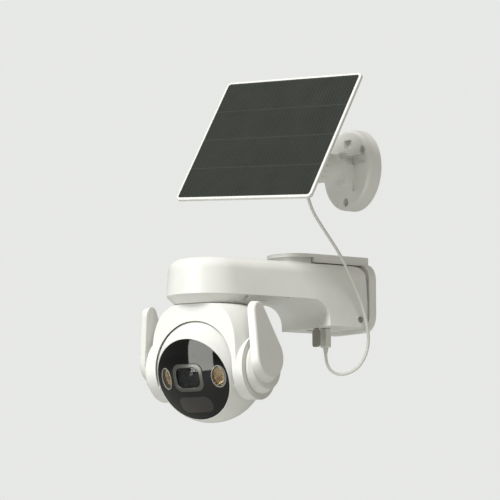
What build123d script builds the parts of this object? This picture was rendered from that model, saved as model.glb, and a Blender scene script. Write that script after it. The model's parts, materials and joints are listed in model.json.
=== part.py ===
from build123d import *
import math
import os

os.makedirs("parts", exist_ok=True)

# Solar-powered pan and tilt camera on its wall bracket, with its solar panel.
# Wall plane is Y = 0, the camera looks towards -Y, +Z is up, and Z = 0 is the middle of the bracket plate.

# ---------------------------------------------------------------- driving dimensions, mm
PLATE_W, PLATE_H, PLATE_T, PLATE_R = 84.0, 68.0, 8.0, 17.0
BR_HOLE_X, BR_HOLE_Z, BR_HOLE_R = 27.0, 20.0, 2.3
TONGUE_HALF, TONGUE_Y, TONGUE_TOP = 29.0, -67.0, 41.0
PAN_Y = -165.0  # pan axis
ARM_HALF, ARM_REAR, ARM_TOP, ARM_EDGE, ARM_LOW = 43.5, -8.5, 31.0, -5.0, -30.5
DRAFT, ARM_FILLET, WALL = 3.0, 12.0, 2.4
BLOCK_FRONT, COVE_R = -56.0, 21.0
SEAM_Z, SEAM_R = -13.0, 35.0
BALL_Z, BALL_R, BALL_FLAT = -74.0, 51.8, 47.0
CAV_R, CAV_FLAT = 52.4, 47.6
PAN_DEG, TILT_DEG, TOE_DEG, LEAN_DEG, SWEEP_DEG = 25.0, 21.0, 3.0, 5.0, 3.0
NECK_R, AXLE_R, RUN = 22.0, 9.0, 0.08
FACE_R, FACE_W, DOME_R = 40.0, 32.4, 85.0
CELL_R, CELL_L = 9.2, 65.0
BASE_X, BASE_Z, BASE_R, BASE_T = 12.0, 131.0, 41.0, 15.0
SBALL_Y, SBALL_R = -58.0, 12.0
PAN_W, PAN_H, PAN_T = 174.5, 145.0, 6.5
SUN_YAW, SUN_EL, SUN_ROLL, SUN_OUT = 19.06, 27.64, -5.34, 62.0
SUN_DX, SUN_DY = -7.7, -8.0
CORD_D = 3.0
PLUG_X, PLUG_Y = 13.0, -41.0


# ---------------------------------------------------------------- frames
def rad(d):
    return math.radians(d)


F = Vector(math.sin(rad(PAN_DEG)), -math.cos(rad(PAN_DEG)), 0)  # head, forward
L = Vector(math.cos(rad(PAN_DEG)), math.sin(rad(PAN_DEG)), 0)  # tilt axis
Z = Vector(0, 0, 1)
BC = Vector(0, PAN_Y, BALL_Z)
FT = F * math.cos(rad(TILT_DEG)) - Z * math.sin(rad(TILT_DEG))  # ball, forward
UT = F * math.sin(rad(TILT_DEG)) + Z * math.cos(rad(TILT_DEG))  # ball, up
HEAD = Plane(origin=BC, x_dir=L, z_dir=F)
HSIDE = Plane(origin=BC, x_dir=F, z_dir=L * -1)
FACE = Plane(origin=BC, x_dir=L, z_dir=FT)
FREV = Plane(origin=BC, x_dir=L, z_dir=UT * -1)
AX_HEAD = Plane(origin=BC, x_dir=F, z_dir=L)  # x forward, along the tilt axis
AX_BALL = Plane(origin=BC, x_dir=FT, z_dir=L)
PANAX = Plane(origin=(0, PAN_Y, 0), x_dir=L, z_dir=Z)
PREV = Plane(origin=(0, PAN_Y, 0), x_dir=(1, 0, 0), z_dir=(0, -1, 0))

n0 = Vector(
    math.sin(rad(SUN_YAW)) * math.cos(rad(SUN_EL)),
    -math.cos(rad(SUN_YAW)) * math.cos(rad(SUN_EL)),
    math.sin(rad(SUN_EL)),
)
r0 = Vector(math.cos(rad(SUN_YAW)), math.sin(rad(SUN_YAW)), 0)
u0 = n0.cross(r0)
SR = r0 * math.cos(rad(SUN_ROLL)) + u0 * math.sin(rad(SUN_ROLL))
SU = u0 * math.cos(rad(SUN_ROLL)) - r0 * math.sin(rad(SUN_ROLL))
SB = Vector(BASE_X, SBALL_Y, BASE_Z)
SC = SB + n0 * SUN_OUT + SR * SUN_DX + SU * SUN_DY
SUN = Plane(origin=SC, x_dir=SR, z_dir=n0)
STEM = Plane(origin=SB, x_dir=SR, z_dir=n0)
BASE = Plane(origin=(BASE_X, 0, BASE_Z), x_dir=(-1, 0, 0), z_dir=(0, -1, 0))


def at(plane, x=0.0, y=0.0, z=0.0):
    return Plane(
        origin=plane.from_local_coords((x, y, z)),
        x_dir=plane.x_dir,
        z_dir=plane.z_dir,
    )


def drum(plane, r, z0, z1, x=0.0, y=0.0, mode=Mode.ADD):
    # a round bar along the plane's normal, from height z0 to z1
    with Locations(at(plane, x, y, z0)):
        Cylinder(r, z1 - z0, align=(Align.CENTER, Align.CENTER, Align.MIN), mode=mode)


def brick(plane, x0, x1, y0, y1, z0, z1, mode=Mode.ADD):
    with Locations(at(plane, (x0 + x1) / 2, (y0 + y1) / 2, (z0 + z1) / 2)):
        Box(x1 - x0, y1 - y0, z1 - z0, mode=mode)


def gear_points(teeth, module, thin, tip, root, phase_deg):
    # an involute outline, 20 degree pressure angle, with a tooth centred on phase_deg
    rp = teeth * module / 2
    rb = rp * math.cos(rad(20))
    ra, rf = rp + tip, rp - root
    inv20 = math.tan(rad(20)) - rad(20)
    half = math.pi / (2 * teeth) - thin / (2 * rp)
    start = max(rb, rf)
    pts = []
    for k in range(teeth):
        mid = rad(phase_deg) + 2 * math.pi * k / teeth
        flank = []
        for s in range(4):
            r = start + (ra - start) * s / 3
            a = math.acos(min(1, rb / r))
            flank.append((r, half + inv20 - (math.tan(a) - a)))
        side = ([(rf, flank[0][1])] if rf < start - 0.02 else []) + flank
        for r, a in side:
            pts.append((r * math.cos(mid - a), r * math.sin(mid - a)))
        for r, a in reversed(side):
            pts.append((r * math.cos(mid + a), r * math.sin(mid + a)))
    return pts


XY = Plane.XY
names = []


def save(builder, label):
    builder.part.label = label
    export_step(builder.part, f"parts/{label}.step")
    names.append(label)


# ================================================================ wall bracket
with BuildPart() as wall_bracket:
    with BuildSketch(Plane.XZ):
        RectangleRounded(PLATE_W, PLATE_H, PLATE_R)
    extrude(amount=PLATE_T)
    # tongue over the top of the arm: thin lip with a round end, thick behind
    with BuildSketch(XY.offset(TONGUE_TOP - 3.5)):
        with Locations((0, TONGUE_Y / 2)):
            Rectangle(2 * TONGUE_HALF, -TONGUE_Y)
        with Locations((0, TONGUE_Y)):
            Circle(TONGUE_HALF)
    extrude(amount=3.5)
    fillet(faces().sort_by(SortBy.AREA).filter_by(Axis.Z).sort_by(Axis.Z)[-1].edges().filter_by(GeomType.CIRCLE), 0.8)
    brick(XY, -TONGUE_HALF, TONGUE_HALF, -65, 0, 32.6, TONGUE_TOP - 3.4)
    # two lugs that reach into the arm's rear wall
    for s in (-1, 1):
        brick(XY, s * 34 - 3.4, s * 34 + 3.4, -27, -7, -27.4, -14)
    # lock screw hole through the near lug
    with Locations(Plane(origin=(28, -20, -23), x_dir=(0, 1, 0), z_dir=(1, 0, 0))):
        Cylinder(1.25, 20, align=(Align.CENTER, Align.CENTER, Align.MIN), mode=Mode.SUBTRACT)
    # wall screw holes with counterbores
    for x in (-BR_HOLE_X, BR_HOLE_X):
        for z in (-BR_HOLE_Z, BR_HOLE_Z):
            with Locations(Plane(origin=(x, 0.5, z), x_dir=(1, 0, 0), z_dir=(0, -1, 0))):
                Cylinder(BR_HOLE_R, 12, align=(Align.CENTER, Align.CENTER, Align.MIN), mode=Mode.SUBTRACT)
            with Locations(Plane(origin=(x, -4.5, z), x_dir=(1, 0, 0), z_dir=(0, -1, 0))):
                Cylinder(4.4, 4, align=(Align.CENTER, Align.CENTER, Align.MIN), mode=Mode.SUBTRACT)
    # cable relief window in the plate
    brick(XY, -12, 12, -9, 1, -12, 12, mode=Mode.SUBTRACT)
save(wall_bracket, "wall_bracket")

with BuildPart() as lock_screw:
    SIDE = Plane(origin=(0, -20, -23), x_dir=(0, 1, 0), z_dir=(1, 0, 0))
    drum(SIDE, 1.25, 30.5, 42.2)
    drum(SIDE, 2.8, 42.2, 43.6)
    brick(SIDE, -2.2, 2.2, -0.35, 0.35, 42.9, 44, mode=Mode.SUBTRACT)
    brick(SIDE, -0.35, 0.35, -2.2, 2.2, 42.9, 44, mode=Mode.SUBTRACT)
save(lock_screw, "lock_screw")


# ================================================================ arm
def arm_outline(half, rear):
    with Locations((0, (rear + PAN_Y) / 2)):
        Rectangle(2 * half, rear - PAN_Y)
    with Locations((0, PAN_Y)):
        Circle(half)


with BuildPart() as arm_inside:
    with BuildSketch(XY.offset(ARM_EDGE + WALL)):
        arm_outline(ARM_HALF - WALL - 0.2, ARM_REAR - WALL)
    extrude(amount=ARM_TOP - ARM_EDGE - 2 * WALL, taper=DRAFT)
    fillet(faces().sort_by(Axis.Z)[-1].edges(), ARM_FILLET - WALL)

with BuildPart() as arm_housing:
    with BuildSketch(XY.offset(ARM_EDGE)):
        arm_outline(ARM_HALF, ARM_REAR)
        fillet(vertices().group_by(Axis.Y)[-1], 6)
    extrude(amount=ARM_TOP - ARM_EDGE, taper=DRAFT)
    fillet(faces().sort_by(Axis.Z)[-1].edges(), ARM_FILLET)
    # rear block below the arm, with a coved front
    with BuildSketch(XY.offset(ARM_LOW)):
        with Locations((0, (ARM_REAR - 78) / 2)):
            Rectangle(2 * ARM_HALF, ARM_REAR + 78)
        fillet(vertices().group_by(Axis.Y)[-1], 6)
    extrude(amount=ARM_EDGE - ARM_LOW)
    with BuildSketch(Plane.YZ):
        with BuildLine():
            Polyline((-79, ARM_EDGE), (-79, ARM_LOW - 1), (BLOCK_FRONT, ARM_LOW - 1), (BLOCK_FRONT, ARM_EDGE - COVE_R))
            RadiusArc((BLOCK_FRONT, ARM_EDGE - COVE_R), (BLOCK_FRONT - COVE_R, ARM_EDGE), -COVE_R)
            Line((BLOCK_FRONT - COVE_R, ARM_EDGE), (-79, ARM_EDGE))
        make_face()
    extrude(amount=ARM_HALF + 1, both=True, mode=Mode.SUBTRACT)
    # raised pad under the bracket's round lip
    with BuildSketch(XY.offset(ARM_TOP - 2)):
        with Locations((0, TONGUE_Y)):
            Circle(25)
        with Locations((0, TONGUE_Y + 26)):
            Rectangle(60, 50, mode=Mode.SUBTRACT)
    extrude(amount=TONGUE_TOP - 3.6 - ARM_TOP + 2)
    # inside of the arm
    add(arm_inside.part, mode=Mode.SUBTRACT)
    # mouth for the bottom cover
    with BuildSketch(XY.offset(ARM_EDGE - 0.5)):
        with Locations((0, (PAN_Y - 77.3) / 2)):
            Rectangle(2 * (ARM_HALF - WALL), -77.3 - PAN_Y)
        with Locations((0, PAN_Y)):
            Circle(ARM_HALF - WALL)
    extrude(amount=WALL + 0.6, mode=Mode.SUBTRACT)
    # inside of the block
    with BuildSketch(Plane.YZ):
        with BuildLine():
            RadiusArc((-77.0, ARM_EDGE + WALL), (-53.6, -26.0), COVE_R + WALL)
            Polyline((-53.6, -26.0), (-53.6, ARM_LOW + WALL), (ARM_REAR - WALL, ARM_LOW + WALL), (ARM_REAR - WALL, 0), (-77.0, 0), (-77.0, ARM_EDGE + WALL))
        make_face()
    extrude(amount=ARM_HALF - WALL, both=True, mode=Mode.SUBTRACT)
    # screw posts on the side walls
    for s in (-1, 1):
        for y in (-102.0, -150.0):
            drum(XY, 3.6, ARM_EDGE + WALL, 8, x=s * 37.9, y=y)
            drum(XY, 1.1, ARM_EDGE, 6, x=s * 37.4, y=y, mode=Mode.SUBTRACT)
    # slots for the bracket's lugs, lock screw hole, socket and button holes
    for s in (-1, 1):
        brick(XY, s * 34 - 4.0, s * 34 + 4.0, -12, -8, -27.9, -13.4, mode=Mode.SUBTRACT)
    with Locations(Plane(origin=(38, -20, -23), x_dir=(0, 1, 0), z_dir=(1, 0, 0))):
        Cylinder(1.7, 10, align=(Align.CENTER, Align.CENTER, Align.MIN), mode=Mode.SUBTRACT)
    with Locations(Plane(origin=(42.1, -20, -23), x_dir=(0, 1, 0), z_dir=(1, 0, 0))):
        Cylinder(3.1, 4, align=(Align.CENTER, Align.CENTER, Align.MIN), mode=Mode.SUBTRACT)
    brick(XY, PLUG_X - 5, PLUG_X + 5, PLUG_Y - 2.3, PLUG_Y + 2.3, -32, -27, mode=Mode.SUBTRACT)
    drum(XY, 3.9 + RUN, -32, -27, x=-14, y=-41, mode=Mode.SUBTRACT)
save(arm_housing, "arm_housing")

with BuildPart() as arm_bottom_cover:
    with BuildSketch(XY.offset(ARM_EDGE)):
        with Locations((0, (PAN_Y - 77.5) / 2)):
            Rectangle(2 * (ARM_HALF - WALL - 0.1), -77.5 - PAN_Y)
        with Locations((0, PAN_Y)):
            Circle(ARM_HALF - WALL - 0.1)
    extrude(amount=WALL - 0.1)
    # turned skirt round the pan axis
    with BuildSketch(PREV):
        with BuildLine():
            Polyline((10, SEAM_Z), (SEAM_R, SEAM_Z), (ARM_HALF, ARM_EDGE), (10, ARM_EDGE), close=True)
        make_face()
    revolve(axis=Axis((0, PAN_Y, 0), (0, 0, 1)))
    drum(PANAX, 26.0, SEAM_Z - 1, 0, mode=Mode.SUBTRACT)
    # clear the pan pinion, and recess each screw head
    for s in (-1, 1):
        for y in (-102.0, -150.0):
            drum(XY, 1.3, ARM_EDGE - 9, 0, x=s * 37.4, y=y, mode=Mode.SUBTRACT)
            drum(XY, 2.6, ARM_EDGE - 9, ARM_EDGE + 0.9, x=s * 37.4, y=y, mode=Mode.SUBTRACT)
    # speaker slots
    for k in range(-3, 4):
        half = math.sqrt(49 - (2.1 * k) ** 2) if abs(2.1 * k) < 7 else 2
        brick(XY, 2.1 * k - 0.55, 2.1 * k + 0.55, -108.5 - half, -108.5 + half, -6, -2, mode=Mode.SUBTRACT)
save(arm_bottom_cover, "arm_bottom_cover")

with BuildPart() as housing_screws:
    for s in (-1, 1):
        for y in (-102.0, -150.0):
            drum(XY, 1.1, ARM_EDGE + 0.5, 5, x=s * 37.4, y=y)
            drum(XY, 2.4, ARM_EDGE - 0.4, ARM_EDGE + 0.9, x=s * 37.4, y=y)
            brick(XY, s * 37.4 - 1.6, s * 37.4 + 1.6, y - 0.3, y + 0.3, -6, ARM_EDGE + 0.2, mode=Mode.SUBTRACT)
            brick(XY, s * 37.4 - 0.3, s * 37.4 + 0.3, y - 1.6, y + 1.6, -6, ARM_EDGE + 0.2, mode=Mode.SUBTRACT)
save(housing_screws, "housing_screws")

with BuildPart() as pan_bearing:
    drum(PANAX, 26.0, SEAM_Z, ARM_EDGE + WALL - 0.1)
    drum(PANAX, 28.5, ARM_EDGE + WALL - 0.1, ARM_EDGE + WALL + 0.1)
    drum(PANAX, NECK_R + RUN, SEAM_Z - 1, 1, mode=Mode.SUBTRACT)
save(pan_bearing, "pan_bearing")

CELL_Z, CELL_YS = 17.4, (-28.0, -47.0, -66.0, -85.0)
CROSS = Plane(origin=(0, 0, 0), x_dir=(0, 1, 0), z_dir=(1, 0, 0))  # x = Y, y = Z
with BuildPart() as battery_cells:
    for k, y in enumerate(CELL_YS):
        end = 1 if k % 2 else -1
        drum(CROSS, CELL_R, -CELL_L / 2, CELL_L / 2, x=y, y=CELL_Z)
        drum(CROSS, 2.8, CELL_L / 2 - 1, CELL_L / 2 + 1.1, x=y, y=CELL_Z) if end > 0 else drum(CROSS, 2.8, -CELL_L / 2 - 1.1, -CELL_L / 2 + 1, x=y, y=CELL_Z)
save(battery_cells, "battery_cells")

with BuildPart() as battery_tray:
    brick(XY, -36.5, 36.5, -96.2, -17, 4.8, 13.5)
    for y in CELL_YS:
        drum(CROSS, CELL_R + 0.05, -33.7, 33.7, x=y, y=CELL_Z, mode=Mode.SUBTRACT)
    brick(XY, -25, 25, -92, -21, 4, 7, mode=Mode.SUBTRACT)
save(battery_tray, "battery_tray")

with BuildPart() as main_board:
    brick(XY, -27, 27, -52, -29, -18.0, -16.4)
    brick(XY, -27, 27, -30, -13, -18.0, -16.4)
    brick(XY, -18, -6, -48, -36, -16.5, -14.8)
    brick(XY, 4, 14, -46, -37, -16.5, -15.0)
    brick(XY, -22, -10, -28, -20, -16.5, -14.2)
    for k in range(5):
        drum(XY, 2.2, -16.5, -11.5, x=2 + 5.4 * k, y=-22)
    brick(XY, -17, -11, -44, -38, -18.1, -17.9)
    brick(XY, -16, -12, -43, -39, -22.0, -17.9)
save(main_board, "main_board")

with BuildPart() as usb_socket:
    brick(XY, PLUG_X - 4.7, PLUG_X + 4.7, PLUG_Y - 2.0, PLUG_Y + 2.0, -29.6, -18.05)
    brick(XY, PLUG_X - 4.25, PLUG_X + 4.25, PLUG_Y - 1.55, PLUG_Y + 1.55, -30, -19, mode=Mode.SUBTRACT)
    brick(XY, PLUG_X - 3.2, PLUG_X + 3.2, PLUG_Y - 0.3, PLUG_Y + 0.3, -28, -18.5)
save(usb_socket, "usb_socket")

with BuildPart() as power_button:
    drum(XY, 3.9, -31.0, -26.6, x=-14, y=-41)
    drum(XY, 5.2, -27.9, -26.6, x=-14, y=-41)
    fillet(faces().sort_by(Axis.Z)[0].edges(), 0.5)
save(power_button, "power_button")

with BuildPart() as port_cover:
    # rubber flap on a strap, hanging open beside the plug
    with BuildSketch(Plane(origin=(PLUG_X, -53.2, -40.6), x_dir=(1, 0, 0), z_dir=(0, 1, 0))):
        RectangleRounded(11, 17, 3)
    extrude(amount=2.4)
    brick(XY, PLUG_X - 4.0, PLUG_X + 4.0, -50.9, -49.7, -45.5, -36.5)
    brick(XY, PLUG_X - 2.5, PLUG_X + 2.5, -53.2, -50.8, -33.0, -30.5)
save(port_cover, "port_cover")

with BuildPart() as plug_shell:
    brick(XY, PLUG_X - 4.2, PLUG_X + 4.2, PLUG_Y - 1.5, PLUG_Y + 1.5, -31.2, -23.0)
    brick(XY, PLUG_X - 3.6, PLUG_X + 3.6, PLUG_Y - 0.95, PLUG_Y + 0.95, -30.5, -22, mode=Mode.SUBTRACT)
save(plug_shell, "plug_shell")

with BuildPart() as plug_body:
    with BuildSketch(XY.offset(-49.5)):
        with Locations((PLUG_X, PLUG_Y)):
            RectangleRounded(12.0, 6.6, 2.2)
    extrude(amount=-31.2 + 49.5)
    fillet(faces().sort_by(Axis.Z)[0].edges(), 1.2)
save(plug_body, "plug_body")

with BuildPart() as strain_relief:
    with BuildSketch(Plane(origin=(PLUG_X, PLUG_Y, 0), x_dir=(1, 0, 0), z_dir=(0, -1, 0))):
        with BuildLine():
            Polyline((0, -49.5), (2.8, -49.5), (2.0, -54.5), (0, -54.5), close=True)
        make_face()
    revolve(axis=Axis((PLUG_X, PLUG_Y, 0), (0, 0, 1)))
save(strain_relief, "strain_relief")

with BuildPart() as speaker:
    drum(XY, 11.0, ARM_EDGE + WALL, 1.0, y=-108.5)
    drum(XY, 6.0, 1.0, 5.0, y=-108.5)
    drum(XY, 9.5, -3.1, -1.2, y=-108.5, mode=Mode.SUBTRACT)
save(speaker, "speaker")

# ---------------------------------------------------------------- pan drive
PIN_Y, GEAR_Z0, GEAR_Z1 = PAN_Y + 30.0, -2.1, 2.9
with BuildPart() as pan_motor:
    drum(XY, 12.0, 6.0, 24.0, y=PIN_Y)
    brick(XY, -17.5, 17.5, PIN_Y - 3.5, PIN_Y + 3.5, 6.0, 6.8)
    brick(XY, -7.5, 7.5, PIN_Y + 9, PIN_Y + 15, 8.0, 22.0)
    drum(XY, 4.5, 3.9, 6.1, y=PIN_Y)
    # the foot that stands it on the bottom cover, clear of the gears
    brick(XY, -19, 19, PIN_Y - 4.5, PIN_Y + 14, 4.6, 6.1)
    for s in (-1, 1):
        brick(XY, s * 17.5 - 1.5, s * 17.5 + 1.5, PIN_Y + 5, PIN_Y + 14, ARM_EDGE + WALL - 0.1, 4.7)
    drum(XY, 1.56, 3.0, 14.0, y=PIN_Y, mode=Mode.SUBTRACT)
save(pan_motor, "pan_motor")

with BuildPart() as pan_pinion:
    with BuildSketch(Plane(origin=(0, PIN_Y, GEAR_Z0), x_dir=(1, 0, 0), z_dir=(0, 0, 1))):
        with BuildLine():
            Polyline(*gear_points(12, 1.0, 0.22, 0.9, 1.15, 270 + 15), close=True)
        make_face()
    extrude(amount=GEAR_Z1 - GEAR_Z0)
    drum(XY, 1.5, GEAR_Z1, 13.0, y=PIN_Y)
save(pan_pinion, "pan_pinion")

with BuildPart() as pan_gear:
    with BuildSketch(Plane(origin=(0, PAN_Y, GEAR_Z0), x_dir=(1, 0, 0), z_dir=(0, 0, 1))):
        with BuildLine():
            Polyline(*gear_points(48, 1.0, 0.22, 0.9, 1.15, 90), close=True)
        make_face()
        Circle(18.0, mode=Mode.SUBTRACT)
    extrude(amount=GEAR_Z1 - GEAR_Z0)
save(pan_gear, "pan_gear")

# ================================================================ head
with BuildPart() as ball_cavity:
    with Locations(HEAD):
        Sphere(CAV_R)
        Box(2 * CAV_FLAT, 120, 120, mode=Mode.INTERSECT)

# the cavity opens out behind the lip, so the ball clears it with a wider gap
with BuildPart() as hood_mouth:
    with Locations(HEAD):
        Sphere(53.7)
    brick(HEAD, -70, 70, -70, 70, 25, 70, mode=Mode.INTERSECT)

with BuildPart() as head_solid:
    top = SEAM_Z - 0.6 - BALL_Z
    with BuildSketch(HEAD):
        with BuildLine():
            Polyline((0, -31.5), (0, top), (SEAM_R - 0.6, top))
            Spline((SEAM_R - 0.6, top), (46.0, 54.0), (52.5, 42.5), (56.0, 27.0), (57.0, 10.0), (57.0, -4.0), (55.6, -20.0), (53.2, -31.5), tangents=((1, -0.12), (-0.28, -1)))
            Line((53.2, -31.5), (0, -31.5))
        make_face()
    revolve(axis=Axis(BC, (0, 0, 1)))
    # side view of the yoke: upright lip in front, round arms, raised tail
    with BuildSketch(HSIDE):
        with BuildLine():
            Polyline((-25.4, -17.8), (-60, -6), (-60, 62), (31, 62), (31, 0))
            ThreePointArc((31, 0), (31 * math.cos(rad(-62)), 31 * math.sin(rad(-62))), (-25.4, -17.8))
        make_face()
    extrude(amount=55, both=True, mode=Mode.INTERSECT)
    for s in (-1, 1):
        drum(AX_HEAD, 31.0, min(s * 38, s * 55), max(s * 38, s * 55))
    add(ball_cavity.part, mode=Mode.SUBTRACT)
    add(hood_mouth.part, mode=Mode.SUBTRACT)
    # neck with a step for the gear, and the cable way
    drum(PANAX, NECK_R, SEAM_Z - 0.7, GEAR_Z0 - 0.1)
    drum(PANAX, 17.95, GEAR_Z0 - 0.2, GEAR_Z1 + 0.3)
    drum(PANAX, 11.0, SEAM_Z - 12, GEAR_Z1 + 1, mode=Mode.SUBTRACT)
    # axle holes, and the pocket of the ring gear
    drum(AX_HEAD, AXLE_R + RUN, -56, -46, mode=Mode.SUBTRACT)
    drum(AX_HEAD, AXLE_R + RUN, 46, 56, mode=Mode.SUBTRACT)
    drum(AX_HEAD, 26.8, 47.4, 52.2, mode=Mode.SUBTRACT)

with BuildPart() as head_shell:
    add(head_solid.part)
    brick(HEAD, -70, 70, -40, 46, -70, 0, mode=Mode.SUBTRACT)
save(head_shell, "head_shell")

with BuildPart() as head_rear_cover:
    add(head_solid.part)
    brick(HEAD, -70, 70, -40, 46, -70, 0, mode=Mode.INTERSECT)
save(head_rear_cover, "head_rear_cover")

RING_T, TPIN_T, TILT_C = 46, 12, 17.0
with BuildPart() as tilt_ring_gear:
    with BuildSketch(at(AX_HEAD, 0, 0, 48.2)):
        Circle(26.8)
        with BuildLine(mode=Mode.PRIVATE) as teeth:
            Polyline(*gear_points(RING_T, 1.0, -0.22, 1.25, 0.85, 180 + TILT_DEG), close=True)
        make_face(teeth.edges(), mode=Mode.SUBTRACT)
    extrude(amount=4.0)
save(tilt_ring_gear, "tilt_ring_gear")

with BuildPart() as tilt_pinion:
    with BuildSketch(Plane(origin=AX_BALL.from_local_coords((-TILT_C, 0, 48.2)), x_dir=AX_HEAD.x_dir, z_dir=L)):
        with BuildLine():
            Polyline(*gear_points(TPIN_T, 1.0, 0.22, 0.9, 1.15, 180 + TILT_DEG), close=True)
        make_face()
    extrude(amount=3.4)
    drum(AX_BALL, 1.5, 35.0, 48.3, x=-TILT_C)
save(tilt_pinion, "tilt_pinion")

# ================================================================ ball
with BuildPart() as ball_skin:
    with Locations(FACE):
        Sphere(BALL_R)
        Box(2 * BALL_FLAT, 120, 120, mode=Mode.INTERSECT)
with BuildPart() as ball_inside:
    with Locations(FACE):
        Sphere(BALL_R - WALL)
        Box(2 * (BALL_FLAT - WALL), 120, 120, mode=Mode.INTERSECT)
CUT_W = 31.2


def ball_half(front):
    add(ball_skin.part)
    add(ball_inside.part, mode=Mode.SUBTRACT)
    for s in (-1, 1):
        drum(AX_BALL, 13.0, min(s * 42, s * 46), max(s * 42, s * 46))
        drum(AX_BALL, AXLE_R, min(s * 41, s * 48), max(s * 41, s * 48), mode=Mode.SUBTRACT)
    if front:
        brick(FACE, -60, 60, -60, 60, -60, 0, mode=Mode.SUBTRACT)
        brick(FACE, -60, 60, -60, 60, CUT_W, 60, mode=Mode.SUBTRACT)
    else:
        brick(FACE, -60, 60, -60, 60, 0, 60, mode=Mode.SUBTRACT)


with BuildPart() as ball_front:
    ball_half(True)
    # shelf for the camera board
    for a in (45, 135, 225, 315):
        drum(FACE, 3.0, 17.0, 20.0, x=33.0 * math.cos(rad(a)), y=33.0 * math.sin(rad(a)))
    for a in (45, 135, 225, 315):
        c, s = math.cos(rad(a)), math.sin(rad(a))
        with Locations(Plane(origin=FACE.from_local_coords((39.6 * c, 39.6 * s, 18.5)), x_dir=FACE.x_dir * c + FACE.y_dir * s, z_dir=FT)):
            Box(14, 4, 3)
    brick(FACE, -60, 60, -60, 60, CUT_W, 60, mode=Mode.SUBTRACT)
save(ball_front, "ball_front")

with BuildPart() as ball_rear:
    ball_half(False)
    drum(AX_BALL, 3.2, 42, 49, x=-TILT_C, mode=Mode.SUBTRACT)
save(ball_rear, "ball_rear")

for side, s in (("right", 1), ("left", -1)):
    with BuildPart() as axle:
        drum(AX_BALL, AXLE_R, min(s * 41, s * 55.5), max(s * 41, s * 55.5))
        drum(AX_BALL, 12.5, min(s * 39.4, s * 42), max(s * 39.4, s * 42))
        drum(AX_BALL, 4.5, min(s * 39, s * 55.6), max(s * 39, s * 55.6), mode=Mode.SUBTRACT)
    save(axle, f"axle_{side}")
    with BuildPart() as hub:
        drum(AX_BALL, 25.2, min(s * 55.5, s * 58.5), max(s * 55.5, s * 58.5))
        chamfer(edges().filter_by(GeomType.CIRCLE).filter_by(lambda e: abs((e.center() - BC).dot(L)) > 58), 0.35)
    save(hub, f"hub_disc_{side}")



def ear_plane(s):
    # leans in over the head at its top, toes in towards the face and sweeps back
    rise = UT * math.cos(rad(SWEEP_DEG)) - FT * math.sin(rad(SWEEP_DEG))
    fore = FT * math.cos(rad(SWEEP_DEG)) + UT * math.sin(rad(SWEEP_DEG))
    out = L * (s * math.cos(rad(LEAN_DEG))) + rise * math.sin(rad(LEAN_DEG))
    up = rise * math.cos(rad(LEAN_DEG)) - L * (s * math.sin(rad(LEAN_DEG)))
    z = out * math.cos(rad(TOE_DEG)) + fore * math.sin(rad(TOE_DEG))
    return Plane(origin=BC + L * (s * 67.3), x_dir=up.cross(z), z_dir=z)


for side, s in (("right", 1), ("left", -1)):
    EAR = ear_plane(s)
    NE = EAR.z_dir
    with BuildPart() as ear:
        for z, low, high in ((-3.75, (7.5, 22.6), (54.4, 9.7)), (3.75, (10.0, 19.6), (55.0, 8.0))):
            with BuildSketch(at(EAR, 0, 0, z)):
                with Locations((0, low[0])):
                    Circle(low[1])
                with Locations((0, high[0])):
                    Circle(high[1])
                make_hull()
        loft()
        fillet(faces().filter_by(lambda f: abs(f.center().sub(EAR.origin).dot(NE) - 3.75) < 0.01).edges(), 2.2)
        with BuildSketch(at(EAR, 0, 0, -3.8)):
            with Locations((0, 10.0)):
                Circle(17.0)
            with Locations((0, 53.5)):
                Circle(5.5)
            make_hull()
        extrude(amount=4.8, mode=Mode.SUBTRACT)
    save(ear, f"ear_{side}")
    with BuildPart() as cover:
        with Locations(Plane(origin=BC + L * (s * 58.5), x_dir=FT, z_dir=L * s)):
            Cone(25.2, 19.0, 10.0, align=(Align.CENTER, Align.CENTER, Align.MIN))
        brick(EAR, -40, 40, -40, 60, -3.75, 20, mode=Mode.SUBTRACT)
        with BuildSketch(at(EAR, 0, 0, -3.75)):
            with Locations((0, 10.0)):
                Circle(16.9)
            with Locations((0, 53.5)):
                Circle(5.4)
            make_hull()
        extrude(amount=1.6)
    save(cover, f"ear_cover_{side}")

with BuildPart() as antennas:
    for s in (1, -1):
        EAR = ear_plane(s)
        brick(EAR, -5.5, 5.5, 6, 42, -2.15, -1.35)
        brick(EAR, -3.5, 3.5, 12, 16, -1.4, -0.4)
        drum(EAR, 1.6, -1.4, -0.2, y=10)
save(antennas, "antennas")

# ---------------------------------------------------------------- face
DOME_C = FACE_W - math.sqrt(DOME_R**2 - FACE_R**2)  # centre of the window's sphere, along FT


def dome_cut(r):
    # keep only what lies inside a sphere concentric with the window
    with Locations(at(FACE, 0, 0, DOME_C)):
        Sphere(r, mode=Mode.INTERSECT)


def oval(plane, x, y, rx, ry, w0, w1, mode=Mode.ADD):
    with BuildSketch(at(plane, x, y, w0)) as shape:
        Ellipse(rx, ry)
    extrude(shape.sketch, amount=w1 - w0, mode=mode)


def slab(plane, x, y, w, h, r, w0, w1, mode=Mode.ADD):
    with BuildSketch(at(plane, x, y, w0)) as shape:
        RectangleRounded(w, h, r)
    extrude(shape.sketch, amount=w1 - w0, mode=mode)


LENS = (0.6, 4.4)
PIR = (1.0, -23.5)
with BuildPart() as face_ring:
    with BuildSketch(FREV):
        with BuildLine():
            Polyline((FACE_R + 0.05, CUT_W), (41.3, CUT_W), (41.0, 31.95), (40.45, 32.6), (FACE_R + 0.05, 32.6), close=True)
        make_face()
    revolve(axis=Axis(BC, FT))
save(face_ring, "face_ring")

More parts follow.
